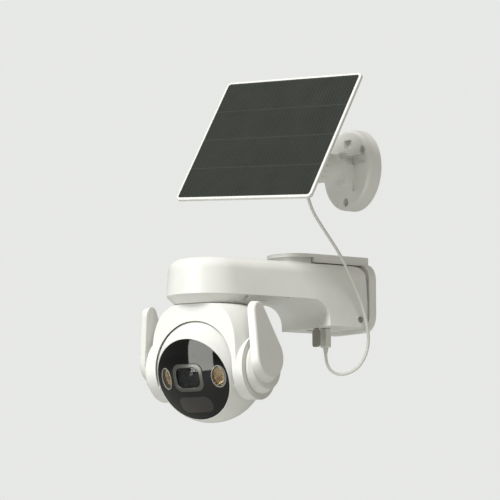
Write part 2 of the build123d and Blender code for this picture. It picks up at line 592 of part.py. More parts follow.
with BuildPart() as face_window:
    drum(FACE, FACE_R, CUT_W, 50)
    dome_cut(DOME_R)
    with Locations(at(FACE, 0, 0, DOME_C)):
        Sphere(DOME_R - 2.0, mode=Mode.SUBTRACT)
    slab(FACE, *LENS, 33.5, 26.9, 8.05, 30, 55, mode=Mode.SUBTRACT)
    for u in (-26.5, 31.5):
        oval(FACE, u, 3.0, 6.4, 10.4, 28, 55, mode=Mode.SUBTRACT)
    slab(FACE, *PIR, 36.0, 17.0, 7.0, 30, 55, mode=Mode.SUBTRACT)
    drum(FACE, 2.0, 30, 55, x=11, y=26, mode=Mode.SUBTRACT)
    drum(FACE, 1.6, 30, 55, x=-27, y=21, mode=Mode.SUBTRACT)
save(face_window, "face_window")

with BuildPart() as lens_bezel:
    slab(FACE, *LENS, 33.4, 26.8, 8.0, 38, 55)
    slab(FACE, *LENS, 25.4, 19.2, 6.0, 37, 55, mode=Mode.SUBTRACT)
    dome_cut(DOME_R + 0.9)
    fillet(edges().filter_by(lambda e: (e.center() - BC).dot(FT) > 39.5), 0.7)
save(lens_bezel, "lens_bezel")

with BuildPart() as lens_cover_glass:
    slab(FACE, *LENS, 25.3, 19.1, 5.95, 38.1, 55)
    dome_cut(DOME_R - 0.6)
    with Locations(at(FACE, 0, 0, DOME_C)):
        Sphere(DOME_R - 2.2, mode=Mode.SUBTRACT)
save(lens_cover_glass, "lens_cover_glass")

with BuildPart() as sensor_board:
    drum(FACE, 31.0, 20.0, 21.6)
    brick(FACE, -9, 9, -4, 14, 21.5, 24.0)
    brick(FACE, -22, -14, -20, -12, 18.4, 20.1)
    brick(FACE, 12, 22, -18, -8, 18.4, 20.1)
    # body heat sensor can, soldered to the board
    drum(FACE, 4.6, 22.6, 28.0, x=PIR[0], y=PIR[1])
    drum(FACE, 5.2, 21.5, 22.7, x=PIR[0], y=PIR[1])
save(sensor_board, "sensor_board")

with BuildPart() as lens_barrel:
    drum(FACE, 8.0, 24.0, 33.0, x=LENS[0], y=LENS[1])
    drum(FACE, 9.4, 33.0, 37.6, x=LENS[0], y=LENS[1])
    drum(FACE, 6.6, 34.8, 38, x=LENS[0], y=LENS[1], mode=Mode.SUBTRACT)
    drum(FACE, 4.2, 24.5, 35, x=LENS[0], y=LENS[1], mode=Mode.SUBTRACT)
save(lens_barrel, "lens_barrel")

with BuildPart() as front_lens:
    drum(FACE, 6.55, 34.8, 36.5, x=LENS[0], y=LENS[1])
    drum(FACE, 5.4, 36.4, 40, x=LENS[0], y=LENS[1])
    with Locations(at(FACE, LENS[0], LENS[1], 28.0)):
        Sphere(10.6, mode=Mode.INTERSECT)
save(front_lens, "front_lens")

with BuildPart() as led_reflectors:
    for u in (-26.5, 31.5):
        oval(FACE, u * 0.94, 3.0, 6.3, 9.8, 21.6, 33.0)
        oval(FACE, u * 0.94, 3.0, 5.3, 8.8, 25.0, 36, mode=Mode.SUBTRACT)
save(led_reflectors, "led_reflectors")

with BuildPart() as led_chips:
    for u in (-26.5, 31.5):
        for v in (-1.5, 3.0, 7.5):
            brick(FACE, u * 0.94 - 1.7, u * 0.94 + 1.7, v - 1.6, v + 1.6, 25.0, 26.2)
save(led_chips, "led_chips")

with BuildPart() as led_lenses:
    for u in (-26.5, 31.5):
        oval(FACE, u, 3.0, 6.35, 10.35, 33.0, 52)
    dome_cut(DOME_R + 0.2)
save(led_lenses, "led_lenses")

with BuildPart() as pir_lens:
    slab(FACE, *PIR, 35.9, 16.9, 6.95, 33, 52)
    dome_cut(DOME_R - 0.1)
    with Locations(at(FACE, 0, 0, DOME_C)):
        Sphere(DOME_R - 2.0, mode=Mode.SUBTRACT)
save(pir_lens, "pir_lens")

with BuildPart() as light_sensor:
    drum(FACE, 1.95, 34.0, 52, x=11, y=26)
    drum(FACE, 1.55, 33.2, 52, x=-27, y=21)
    dome_cut(DOME_R - 0.15)
save(light_sensor, "light_sensor")

with BuildPart() as tilt_motor:
    drum(AX_BALL, 9.0, 22.0, 38.9, x=-TILT_C)
    drum(AX_BALL, 3.9, 38.8, 41.4, x=-TILT_C)
    brick(AX_BALL, -TILT_C - 10.0, -TILT_C + 2, -3.2, 3.2, 37.4, 38.6)
    # the foot that ties it to the rear shell
    brick(AX_BALL, -34, -8, -12, 12, 19.4, 22.1)
    brick(AX_BALL, -45, -33.5, -12, 12, 19.4, 27.0)
    add(ball_inside.part, mode=Mode.INTERSECT)
    drum(AX_BALL, 1.56, 33.0, 42, x=-TILT_C, mode=Mode.SUBTRACT)
save(tilt_motor, "tilt_motor")

# ================================================================ solar mount
with BuildPart() as solar_base:
    drum(BASE, BASE_R, 0, BASE_T)
    fillet(edges().filter_by(GeomType.CIRCLE).sort_by(Axis.Y)[0], 4.0)
    drum(BASE, 18.0, BASE_T - 1, 21.0)
    fillet(edges().filter_by(GeomType.CIRCLE).filter_by(lambda e: abs(e.radius - 18) < 0.01 and e.center().Y < -20), 2.0)
    # stepped pocket beside the neck, and a square one above it
    slab(BASE, -20.0, -8.0, 26.0, 9.5, 1.6, 11.0, 22, mode=Mode.SUBTRACT)
    slab(BASE, -16.5, 9.5, 12.0, 27.0, 2.4, 12.0, 22, mode=Mode.SUBTRACT)
    slab(BASE, -4.0, -25.5, 13.0, 9.0, 1.6, 10.5, 22, mode=Mode.SUBTRACT)
    drum(BASE, 9.5, BASE_T - 8, 22, mode=Mode.SUBTRACT)
    for a in (90.0, 210.0, 330.0):
        x, y = 33 * math.cos(rad(a)), 33 * math.sin(rad(a))
        drum(BASE, 2.4, -1, 20, x=x, y=y, mode=Mode.SUBTRACT)
        drum(BASE, 4.4, 6.0, 20, x=x, y=y, mode=Mode.SUBTRACT)
save(solar_base, "solar_base")

with BuildPart() as socket_cup:
    drum(BASE, 9.45, BASE_T - 8, 21.5)
    drum(BASE, 11.5, 21.0, 29.5)
    drum(BASE, 15.0, 29.0, 45.0)
    chamfer(edges().filter_by(GeomType.CIRCLE).filter_by(lambda e: abs(e.radius - 15) < 0.01 and e.center().Y > -30), 1.2)
    drum(BASE, 13.2, 45.0, 58.0)
    with Locations(SB):
        Sphere(SBALL_R + 0.06, mode=Mode.SUBTRACT)
save(socket_cup, "socket_cup")

with BuildPart() as lock_ring:
    drum(BASE, 15.8, 45.3, 62.2)
    chamfer(edges().filter_by(GeomType.CIRCLE).sort_by(Axis.Y)[0], 1.2)
    drum(BASE, 13.2 + RUN, 45.0, 58.3, mode=Mode.SUBTRACT)
    for k in range(16):
        a = rad(22.5 * k)
        drum(BASE, 0.9, 45.0, 63, x=16.2 * math.cos(a), y=16.2 * math.sin(a), mode=Mode.SUBTRACT)
    with Locations(SB):
        Sphere(SBALL_R + 0.35, mode=Mode.SUBTRACT)
save(lock_ring, "lock_ring")

with BuildPart() as solar_ball:
    with Locations(SB):
        Sphere(SBALL_R)
save(solar_ball, "solar_ball")

with BuildPart() as panel_stem:
    drum(STEM, 5.0, 8.0, SUN_OUT - 11.0)
    drum(STEM, 18.0, SUN_OUT - 14.0, SUN_OUT - 11.0)
    with BuildSketch(Plane(origin=SB, x_dir=SR, z_dir=SU * -1)):
        with BuildLine():
            Polyline((4.9, SUN_OUT - 13.9), (11.0, SUN_OUT - 13.9), (4.9, SUN_OUT - 22.0), close=True)
        make_face()
    revolve(axis=Axis(SB, n0))
    with Locations(SB):
        Sphere(SBALL_R + 0.35, mode=Mode.SUBTRACT)
save(panel_stem, "panel_stem")

HOLD = (-SUN_DX, -SUN_DY)  # where the stem meets the panel, from its centre
with BuildPart() as panel_frame:
    slab(SUN, 0, 0, PAN_W, PAN_H, 5.5, -PAN_T, 0)
    chamfer(faces().filter_by(lambda f: abs((f.center() - SC).dot(n0) + PAN_T) < 0.01).edges(), 3.4)
    fillet(faces().filter_by(lambda f: abs((f.center() - SC).dot(n0)) < 0.01).edges(), 1.0)
    slab(SUN, 0, 0, PAN_W - 5.0, PAN_H - 5.0, 3.0, -2.7, 1, mode=Mode.SUBTRACT)
    slab(SUN, 0, 0, PAN_W - 14.0, PAN_H - 14.0, 5.0, -8, 0, mode=Mode.SUBTRACT)
save(panel_frame, "panel_frame")

with BuildPart() as solar_laminate:
    slab(SUN, 0, 0, PAN_W - 5.1, PAN_H - 5.1, 2.95, -2.7, -0.45)
save(solar_laminate, "solar_laminate")

with BuildPart() as panel_back:
    slab(SUN, 0, 0, PAN_W - 14.1, PAN_H - 14.1, 4.95, -PAN_T, -2.7)
    slab(SUN, *HOLD, 96.0, 70.0, 9.0, -11.0, -PAN_T + 0.1)
    for x in (-56, 56):
        for y in (-58, 58):
            drum(SUN, 1.2, -7, -3.5, x=x, y=y, mode=Mode.SUBTRACT)
save(panel_back, "panel_back")

with BuildPart() as panel_screws:
    for x in (-56, 56):
        for y in (-58, 58):
            drum(SUN, 1.2, -PAN_T, -3.5, x=x, y=y)
            drum(SUN, 2.4, -7.9, -PAN_T, x=x, y=y)
            brick(SUN, x - 1.6, x + 1.6, y - 0.3, y + 0.3, -8, -7.2, mode=Mode.SUBTRACT)
            brick(SUN, x - 0.3, x + 0.3, y - 1.6, y + 1.6, -8, -7.2, mode=Mode.SUBTRACT)
save(panel_screws, "panel_screws")

# ================================================================ cable
GL = Vector(90.2, -113.9, 89.1)  # where the cable leaves its gland, and the way it heads
GLD = (Vector(89.4, -110.9, 76.0) - GL).normalized()
GLP = Plane(origin=GL, x_dir=(1, 0, 0), z_dir=GLD * -1)
with BuildPart() as cable_gland:
    drum(GLP, 2.6, 0.0, 4.0)
    drum(GLP, 4.0, 4.0, 13.0)
    with Locations(at(SUN, 70, -52.5, -9.0)):
        Box(13, 13, 5)
    # cut where the panel's back is
    slab(SUN, 0, 0, 200, 200, 5.0, -PAN_T, 20, mode=Mode.SUBTRACT)
save(cable_gland, "cable_gland")

ROUTE = [
    tuple(GL),
    (89.4, -110.9, 76.0),
    (77.5, -83.5, 54.0),
    (63.0, -57.0, 36.5),
    (53.8, -37.0, 14.0),
    (51.6, -24.0, -7.5),
    (49.0, -15.5, -29.5),
    (42.5, -9.8, -52.0),
    (31.5, -13.5, -73.5),
    (19.5, -28.5, -82.0),
    (PLUG_X, PLUG_Y, -71.5),
    (PLUG_X, PLUG_Y, -54.5),
]


def radii_of(route):
    out = []
    for a, b, c in zip(route, route[1:], route[2:]):
        p, q = Vector(*b) - Vector(*a), Vector(*c) - Vector(*b)
        turn = rad(p.get_angle(q))
        out.append(min(70.0, 0.45 * min(p.length, q.length) / math.tan(turn / 2)))
    return out


CUT = 3  # the cable's two lengths meet half way along the run after this corner
mid = (Vector(*ROUTE[CUT]) + Vector(*ROUTE[CUT + 1])) * 0.5
upper = ROUTE[: CUT + 1] + [tuple(mid)]
lower = [tuple(mid)] + ROUTE[CUT + 1 :]
for label, route in (("cable_upper", upper), ("cable_lower", lower)):
    bends = radii_of(route)
    start = Plane(origin=route[0], z_dir=Vector(*route[1]) - Vector(*route[0]))
    with BuildPart() as cable:
        with BuildLine() as way:
            FilletPolyline(*route, radius=bends)
        with BuildSketch(start):
            Circle(CORD_D / 2)
        sweep()
    long = sum(e.length for e in way.edges())
    print(label, "length", round(long, 1), "radii", [round(b, 1) for b in bends], "volume/tube", round(cable.part.volume / (long * math.pi * CORD_D**2 / 4), 4), "solids", len(cable.part.solids()))
    save(cable, label)

print(len(names), "nodes")
print("tilt axis", tuple(L), "face", tuple(FT), "ball", tuple(BC))
print("sun", tuple(SC), "n", tuple(n0), "r", tuple(r0))
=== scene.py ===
import json
import math

import bmesh
import bpy
from mathutils import Matrix, Vector


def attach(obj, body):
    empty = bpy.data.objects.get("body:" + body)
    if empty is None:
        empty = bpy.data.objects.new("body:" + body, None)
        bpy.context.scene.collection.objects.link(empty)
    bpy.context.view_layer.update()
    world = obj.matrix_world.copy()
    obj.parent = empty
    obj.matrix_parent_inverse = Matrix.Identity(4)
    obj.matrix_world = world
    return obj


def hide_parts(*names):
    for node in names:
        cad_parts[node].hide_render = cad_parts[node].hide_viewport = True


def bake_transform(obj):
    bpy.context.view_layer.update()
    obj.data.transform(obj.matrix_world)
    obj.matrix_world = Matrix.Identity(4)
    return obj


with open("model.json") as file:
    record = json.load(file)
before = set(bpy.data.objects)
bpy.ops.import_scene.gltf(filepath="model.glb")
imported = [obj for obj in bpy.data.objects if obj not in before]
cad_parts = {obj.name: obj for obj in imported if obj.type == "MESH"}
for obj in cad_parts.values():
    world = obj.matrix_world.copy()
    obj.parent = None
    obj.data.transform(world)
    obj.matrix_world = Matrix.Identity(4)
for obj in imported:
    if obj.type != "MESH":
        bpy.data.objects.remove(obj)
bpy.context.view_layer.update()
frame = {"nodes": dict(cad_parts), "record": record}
scene = bpy.context.scene
nodes = frame["nodes"]

# ------------------------------------------------------------------ frames, metres
MM = 0.001
BALL = Vector((0.0, -0.165, -0.074))
AX_L = Vector((0.906308, 0.422618, 0.0))
AX_F = Vector((0.394548, -0.846111, -0.358368))
AX_U = AX_F.cross(AX_L)
SUN_C = Vector((0.0230842, -0.1158386, 0.1533413))
SUN_N = Vector((0.28929128, -0.83731344, 0.46391461)).normalized()
SUN_X = Vector((0.95517, 0.28433, -0.08245)).normalized()
SUN_Y = SUN_N.cross(SUN_X).normalized()


def face(u, v, w):
    return BALL + (AX_L * u + AX_U * v + AX_F * w) * MM


def sun(x, y, z):
    return SUN_C + (SUN_X * x + SUN_Y * y + SUN_N * z) * MM


DOME_R = 85.0
DOME_W = 32.4 - math.sqrt(DOME_R**2 - 40.0**2)


def dome(u, v, out=0.0):
    r = DOME_R + out
    return DOME_W + math.sqrt(r * r - u * u - v * v)


# ------------------------------------------------------------------ camera
cam_data = bpy.data.cameras.new("camera")
cam = bpy.data.objects.new("camera", cam_data)
scene.collection.objects.link(cam)
cam_data.lens = 140.2
cam_data.sensor_width = 36.0
cam_data.clip_start, cam_data.clip_end = 0.05, 60.0
cam.location = (1.60223, -1.12739, -0.19550)
CAM_AZ, CAM_UP = math.radians(57.873), math.radians(7.213)
look = Vector((-math.sin(CAM_AZ) * math.cos(CAM_UP), math.cos(CAM_AZ) * math.cos(CAM_UP), math.sin(CAM_UP)))
cam.rotation_mode = "QUATERNION"
cam.rotation_quaternion = look.to_track_quat("-Z", "Y")
scene.camera = cam

# ------------------------------------------------------------------ light
scene.view_settings.view_transform = "Standard"
scene.view_settings.look = "None"
scene.view_settings.exposure = 0.0

world = bpy.data.worlds.new("studio")
scene.world = world
world.use_nodes = True
wt = world.node_tree
wt.nodes.clear()
w_out = wt.nodes.new("ShaderNodeOutputWorld")
w_fill = wt.nodes.new("ShaderNodeBackground")
w_seen = wt.nodes.new("ShaderNodeBackground")
w_mix = wt.nodes.new("ShaderNodeMixShader")
w_path = wt.nodes.new("ShaderNodeLightPath")
w_fill.inputs["Color"].default_value = (1.0, 0.965, 0.87, 1)
w_fill.inputs["Strength"].default_value = 0.27
w_seen.inputs["Color"].default_value = (0.80, 0.81, 0.79, 1)
w_seen.inputs["Strength"].default_value = 1.0
wt.links.new(w_path.outputs["Is Camera Ray"], w_mix.inputs["Fac"])
wt.links.new(w_fill.outputs[0], w_mix.inputs[1])
wt.links.new(w_seen.outputs[0], w_mix.inputs[2])
wt.links.new(w_mix.outputs[0], w_out.inputs["Surface"])


def area(name, az, el, dist, size, power, colour=(1, 1, 1), aim=(0.0, -0.12, 0.0), size_y=None):
    data = bpy.data.lights.new(name, "AREA")
    data.shape = "RECTANGLE"
    data.size, data.size_y = size, size_y or size
    data.energy = power
    data.color = colour
    ob = bpy.data.objects.new(name, data)
    scene.collection.objects.link(ob)
    a, e = math.radians(az), math.radians(el)
    back = Vector((math.sin(a) * math.cos(e), -math.cos(a) * math.cos(e), math.sin(e)))
    ob.location = Vector(aim) + back * dist
    ob.rotation_mode = "QUATERNION"
    ob.rotation_quaternion = (-back).to_track_quat("-Z", "Y")
    ob.visible_camera = False
    return ob


key = area("key", 20, 45, 2.2, 0.7, 45, (0.99, 1.0, 0.985))
key.visible_glossy = False
area("left_fill", -30, 10, 2.4, 1.2, 7, (0.96, 1.0, 0.98)).visible_glossy = False
# a weak one from the upper right, for the round base behind the panel
area("right_fill", 78, 42, 2.4, 0.9, 8, (1.0, 0.98, 0.92)).visible_glossy = False
# a strip that shows only as the grey reflection in the black window
strip_light = area("window_reflection", 14, -3, 1.3, 0.80, 21.0, (0.98, 1.0, 0.93), aim=tuple(BALL), size_y=0.86)
strip_light.visible_diffuse = False


# ------------------------------------------------------------------ materials
def material(name):
    m = bpy.data.materials.new(name)
    m.use_nodes = True
    t = m.node_tree
    t.nodes.clear()
    out = t.nodes.new("ShaderNodeOutputMaterial")
    b = t.nodes.new("ShaderNodeBsdfPrincipled")
    t.links.new(b.outputs[0], out.inputs["Surface"])
    return m, t, b


def node(t, kind, **sets):
    n = t.nodes.new(kind)
    for k, v in sets.items():
        setattr(n, k, v)
    return n


def noise(t, coords, scale, detail=3.0, rough=0.55, stretch=None):
    if stretch:
        mp = node(t, "ShaderNodeMapping")
        mp.inputs["Scale"].default_value = stretch
        t.links.new(coords, mp.inputs["Vector"])
        coords = mp.outputs["Vector"]
    n = node(t, "ShaderNodeTexNoise")
    n.inputs["Scale"].default_value = scale
    n.inputs["Detail"].default_value = detail
    n.inputs["Roughness"].default_value = rough
    t.links.new(coords, n.inputs["Vector"])
    return n.outputs["Fac"]


def ramp(t, fac, stops):
    r = node(t, "ShaderNodeValToRGB")
    e = r.color_ramp.elements
    e[0].position, e[0].color = stops[0][0], (*stops[0][1], 1)
    e[1].position, e[1].color = stops[-1][0], (*stops[-1][1], 1)
    for p, c in stops[1:-1]:
        k = e.new(p)
        k.color = (*c, 1)
    t.links.new(fac, r.inputs["Fac"])
    return r.outputs["Color"]


def span(t, fac, low, high, a=0.3, b=0.7):
    m = node(t, "ShaderNodeMapRange")
    m.inputs["From Min"].default_value = a
    m.inputs["From Max"].default_value = b
    m.inputs["To Min"].default_value = low
    m.inputs["To Max"].default_value = high
    t.links.new(fac, m.inputs["Value"])
    return m.outputs["Result"]


def math_node(t, op, a, b=None, c=None):
    m = node(t, "ShaderNodeMath", operation=op)
    for i, v in enumerate((a, b, c)):
        if v is None:
            continue
        if isinstance(v, (int, float)):
            m.inputs[i].default_value = v
        else:
            t.links.new(v, m.inputs[i])
    return m.outputs[0]


def bump(t, b, height, strength, distance, under=None):
    n = node(t, "ShaderNodeBump")
    n.inputs["Strength"].default_value = strength
    n.inputs["Distance"].default_value = distance
    t.links.new(height, n.inputs["Height"])
    if under is not None:
        t.links.new(under, n.inputs["Normal"])
    t.links.new(n.outputs["Normal"], b.inputs["Normal"])
    return n.outputs["Normal"]


def moulded(name, base, rough, grain=2200.0, depth=0.00004, strength=0.35, vary=0.035, spread=0.05, metallic=0.0,
            coat=0.0, coat_rough=0.08, spec=0.5, alpha=1.0, stretch=None, ior=1.5, sss=0.0, painted_glow=None):
    m, t, b = material(name)
    tc = node(t, "ShaderNodeTexCoord").outputs["Object"]
    fine = noise(t, tc, grain, 3.0, 0.6, stretch)
    wide = noise(t, tc, 26.0, 3.0, 0.5)
    dark = tuple(c * (1 - vary) for c in base)
    light = tuple(min(1.0, c * (1 + vary * 0.6)) for c in base)
    t.links.new(ramp(t, wide, [(0.3, dark), (0.5, base), (0.72, light)]), b.inputs["Base Color"])
    mixed = math_node(t, "ADD", math_node(t, "MULTIPLY", fine, 0.6), math_node(t, "MULTIPLY", wide, 0.4))
    t.links.new(span(t, mixed, rough - spread, rough + spread), b.inputs["Roughness"])
    low = node(t, "ShaderNodeBump")
    low.inputs["Strength"].default_value = 0.12
    low.inputs["Distance"].default_value = 0.0004
    t.links.new(noise(t, tc, 90.0, 2.0, 0.4), low.inputs["Height"])
    bump(t, b, fine, strength, depth, low.outputs["Normal"])
    b.inputs["Metallic"].default_value = metallic
    b.inputs["Specular IOR Level"].default_value = spec
    b.inputs["IOR"].default_value = ior
    b.inputs["Coat Weight"].default_value = coat
    b.inputs["Coat Roughness"].default_value = coat_rough
    if sss:
        b.inputs["Subsurface Weight"].default_value = sss
        b.inputs["Subsurface Radius"].default_value = (0.0012, 0.001, 0.0008)
    if alpha < 1.0:
        b.inputs["Alpha"].default_value = alpha
        m.blend_method = "BLEND"
    # the emission paints a glow onto the part; it is no lamp
    if painted_glow:
        b.inputs["Emission Color"].default_value = (*painted_glow[0], 1)
        b.inputs["Emission Strength"].default_value = painted_glow[1]
    return m


MATS = {
    "white_shell": moulded("white_shell", (0.80, 0.80, 0.775), 0.40, grain=1900, depth=0.00003, strength=0.30),
    "solar_back_white": moulded("solar_back_white", (0.77, 0.77, 0.745), 0.55, grain=900, depth=0.00009, strength=0.5),
    "cable_white": moulded("cable_white", (0.78, 0.775, 0.73), 0.46, grain=1500, depth=0.00003, strength=0.3, sss=0.08),
    "port_rubber": moulded("port_rubber", (0.30, 0.295, 0.27), 0.68, grain=1200, depth=0.00006, strength=0.5),
    "button_rubber": moulded("button_rubber", (0.40, 0.40, 0.38), 0.62, grain=1200, depth=0.00006, strength=0.5),
    "screw_steel": moulded("screw_steel", (0.55, 0.55, 0.54), 0.32, grain=900, metallic=1.0, stretch=(1, 1, 6), vary=0.12),
    "bearing_plastic": moulded("bearing_plastic", (0.70, 0.70, 0.67), 0.34, grain=1700),
    "gear_plastic": moulded("gear_plastic", (0.62, 0.60, 0.54), 0.42, grain=1500),
    "cell_wrap": moulded("cell_wrap", (0.03, 0.12, 0.28), 0.30, grain=700, vary=0.1),
    "tray_plastic": moulded("tray_plastic", (0.05, 0.05, 0.052), 0.50, grain=1300),
    "motor_steel": moulded("motor_steel", (0.60, 0.60, 0.60), 0.30, grain=800, metallic=1.0, stretch=(1, 1, 8), vary=0.1),
    "speaker_cone": moulded("speaker_cone", (0.025, 0.025, 0.026), 0.75, grain=2600, depth=0.0001, strength=0.8),
    "ring_grey": moulded("ring_grey", (0.044, 0.047, 0.038), 0.30, grain=2200, depth=0.00002, strength=0.3, coat=0.25, coat_rough=0.12),
    "black_gloss": moulded("black_gloss", (0.0055, 0.0055, 0.006), 0.055, grain=500, depth=0.000004, strength=0.15, spread=0.02,
                           vary=0.2, spec=0.31),
    "dark_glass": moulded("dark_glass", (0.004, 0.005, 0.006), 0.03, grain=400, depth=0.000002, strength=0.1, spread=0.01,
                          alpha=0.42, spec=0.45),
    "barrel_black": moulded("barrel_black", (0.012, 0.012, 0.013), 0.42, grain=1800, vary=0.2),
    "reflector_chrome": moulded("reflector_chrome", (0.74, 0.63, 0.47), 0.20, grain=1400, metallic=1.0, vary=0.08),
    # painted glow: the amber LED chips get a faint emission so they glow, though they are no lamp
    "led_yellow": moulded("led_yellow", (0.78, 0.44, 0.12), 0.40, grain=2200, vary=0.15, painted_glow=((1.0, 0.58, 0.20), 0.14)),
    "pale_rim": moulded("pale_rim", (0.34, 0.335, 0.30), 0.26, grain=1800, coat=0.2),
    "ribbon_tin": moulded("ribbon_tin", (0.030, 0.034, 0.032), 0.42, grain=1500, metallic=0.6, vary=0.12),
}


def lens_material():
    m, t, b = material("lens_glass")
    tc = node(t, "ShaderNodeTexCoord").outputs["Object"]
    n = noise(t, tc, 140.0, 2.0)
    t.links.new(ramp(t, n, [(0.35, (0.004, 0.010, 0.016)), (0.65, (0.010, 0.008, 0.020))]), b.inputs["Base Color"])
    t.links.new(span(t, n, 0.015, 0.04), b.inputs["Roughness"])
    b.inputs["Coat Weight"].default_value = 0.6
    b.inputs["Coat Roughness"].default_value = 0.015
    b.inputs["Coat IOR"].default_value = 1.7
    b.inputs["Coat Tint"].default_value = (0.75, 0.85, 1.0, 1)
    return m


def led_window_material():
    m, t, b = material("led_window")
    tc = node(t, "ShaderNodeTexCoord").outputs["Object"]
    n = noise(t, tc, 900.0, 2.0)
    t.links.new(ramp(t, n, [(0.3, (0.30, 0.28, 0.22)), (0.7, (0.38, 0.36, 0.30))]), b.inputs["Base Color"])
    t.links.new(span(t, n, 0.06, 0.12), b.inputs["Roughness"])
    bump(t, b, n, 0.2, 0.00002)
    b.inputs["Alpha"].default_value = 0.14
    b.inputs["Coat Weight"].default_value = 0.4
    b.inputs["Coat Roughness"].default_value = 0.03
    m.blend_method = "BLEND"
    return m


def pir_material():
    # fine honeycomb of small lenses under a smooth brown window
    m, t, b = material("pir_brown")
    tc = node(t, "ShaderNodeTexCoord").outputs["Object"]
    v = node(t, "ShaderNodeTexVoronoi", feature="DISTANCE_TO_EDGE")
    v.inputs["Scale"].default_value = 620.0
    v.inputs["Randomness"].default_value = 0.15
    t.links.new(tc, v.inputs["Vector"])
    cell = v.outputs["Distance"]
    t.links.new(ramp(t, span(t, cell, 0.0, 1.0, 0.0, 0.22), [(0.0, (0.008, 0.0048, 0.0035)), (1.0, (0.016, 0.0095, 0.0068))]), b.inputs["Base Color"])
    t.links.new(span(t, noise(t, tc, 700.0), 0.18, 0.30), b.inputs["Roughness"])
    bump(t, b, cell, 0.10, 0.0001)
    b.inputs["Coat Weight"].default_value = 0.3
    b.inputs["Coat Roughness"].default_value = 0.05
    return m


def board_material():
    m, t, b = material("board_green")
    tc = node(t, "ShaderNodeTexCoord").outputs["Object"]
    br = node(t, "ShaderNodeTexBrick")
    br.inputs["Scale"].default_value = 190.0
    br.inputs["Color1"].default_value = (0.010, 0.085, 0.035, 1)
    br.inputs["Color2"].default_value = (0.016, 0.105, 0.045, 1)
    br.inputs["Mortar"].default_value = (0.06, 0.16, 0.07, 1)
    br.inputs["Mortar Size"].default_value = 0.012
    t.links.new(tc, br.inputs["Vector"])
    t.links.new(br.outputs["Color"], b.inputs["Base Color"])
    t.links.new(span(t, noise(t, tc, 900.0), 0.25, 0.42), b.inputs["Roughness"])
    bump(t, b, noise(t, tc, 1400.0), 0.3, 0.00004)
    return m


def plane_value(t, tc, origin, axis):
    # distance along an axis of the part, from its own object coordinates
    s = node(t, "ShaderNodeVectorMath", operation="SUBTRACT")
    t.links.new(tc, s.inputs[0])
    s.inputs[1].default_value = tuple(origin)
    d = node(t, "ShaderNodeVectorMath", operation="DOT_PRODUCT")
    t.links.new(s.outputs["Vector"], d.inputs[0])
    d.inputs[1].default_value = tuple(axis)
    return d.outputs["Value"]


def line(t, value, pitch, width, offset=0.0):
    # 1 on a line of the grid and 0 between lines
    p = math_node(t, "PINGPONG", math_node(t, "ADD", value, offset), pitch / 2)
    return span(t, p, 1.0, 0.0, width * 0.5, width * 1.1)


def cell_material():
    m, t, b = material("solar_cell")
    tc = node(t, "ShaderNodeTexCoord").outputs["Object"]
    x = plane_value(t, tc, SUN_C, SUN_X)
    y = plane_value(t, tc, SUN_C, SUN_Y)
    fingers = line(t, x, 0.0042, 0.00042)
    hair = line(t, x, 0.0014, 0.00016, 0.0007)
    rows = line(t, y, 0.0349, 0.0009)
    grid = math_node(t, "MAXIMUM", math_node(t, "MULTIPLY", fingers, 0.55), math_node(t, "MULTIPLY", rows, 1.0))
    grid = math_node(t, "MAXIMUM", grid, math_node(t, "MULTIPLY", hair, 0.22))
    v = node(t, "ShaderNodeTexVoronoi")
    v.inputs["Scale"].default_value = 60.0
    t.links.new(tc, v.inputs["Vector"])
    mottle = math_node(t, "ADD", math_node(t, "MULTIPLY", noise(t, tc, 45.0, 4.0), 0.6), math_node(t, "MULTIPLY", v.outputs["Distance"], 0.25))
    dark = ramp(t, mottle, [(0.25, (0.014, 0.0175, 0.0155)), (0.6, (0.020, 0.0245, 0.0215))])
    mix = node(t, "ShaderNodeMix", data_type="RGBA")
    t.links.new(grid, mix.inputs[0])
    t.links.new(dark, mix.inputs[6])
    mix.inputs[7].default_value = (0.045, 0.051, 0.046, 1)
    t.links.new(mix.outputs[2], b.inputs["Base Color"])
    t.links.new(span(t, noise(t, tc, 1300.0), 0.22, 0.34), b.inputs["Roughness"])
    bump(t, b, math_node(t, "ADD", math_node(t, "MULTIPLY", grid, 0.5), math_node(t, "MULTIPLY", noise(t, tc, 2000.0), 0.3)), 0.25, 0.00005)
    b.inputs["Coat Weight"].default_value = 0.5
    b.inputs["Coat Roughness"].default_value = 0.10
    return m


MATS["lens_glass"] = lens_material()
MATS["pir_brown"] = pir_material()
MATS["board_green"] = board_material()
MATS["solar_cell"] = cell_material()
MATS["led_window"] = led_window_material()

slot_of = {}
for row in frame["record"].get("subparts", []):
    slot_of[row.get("node") or row.get("name")] = row.get("material_slot") or row.get("material") or row.get("slot")

own = {"led_lenses": "led_window"}
fallback = {
    "panel_back": "solar_back_white", "cable_upper": "cable_white", "cable_lower": "cable_white", "plug_body": "cable_white",
    "strain_relief": "cable_white", "cable_gland": "cable_white", "port_cover": "port_rubber", "power_button": "button_rubber",
    "lock_screw": "screw_steel", "housing_screws": "screw_steel", "panel_screws": "screw_steel", "pan_bearing": "bearing_plastic",
    "axle_right": "bearing_plastic", "axle_left": "bearing_plastic", "solar_ball": "bearing_plastic", "pan_gear": "gear_plastic",
    "pan_pinion": "gear_plastic", "tilt_ring_gear": "gear_plastic", "tilt_pinion": "gear_plastic", "battery_cells": "cell_wrap",
    "battery_tray": "tray_plastic", "main_board": "board_green", "sensor_board": "board_green", "antennas": "board_green",
    "pan_motor": "motor_steel", "tilt_motor": "motor_steel", "usb_socket": "motor_steel", "plug_shell": "motor_steel",
    "speaker": "speaker_cone", "lens_bezel": "ring_grey", "face_window": "black_gloss", "light_sensor": "black_gloss",
    "lens_cover_glass": "dark_glass", "front_lens": "lens_glass", "led_lenses": "lens_glass", "lens_barrel": "barrel_black",
    "led_reflectors": "reflector_chrome", "led_chips": "led_yellow", "pir_lens": "pir_brown", "solar_laminate": "solar_cell",
}
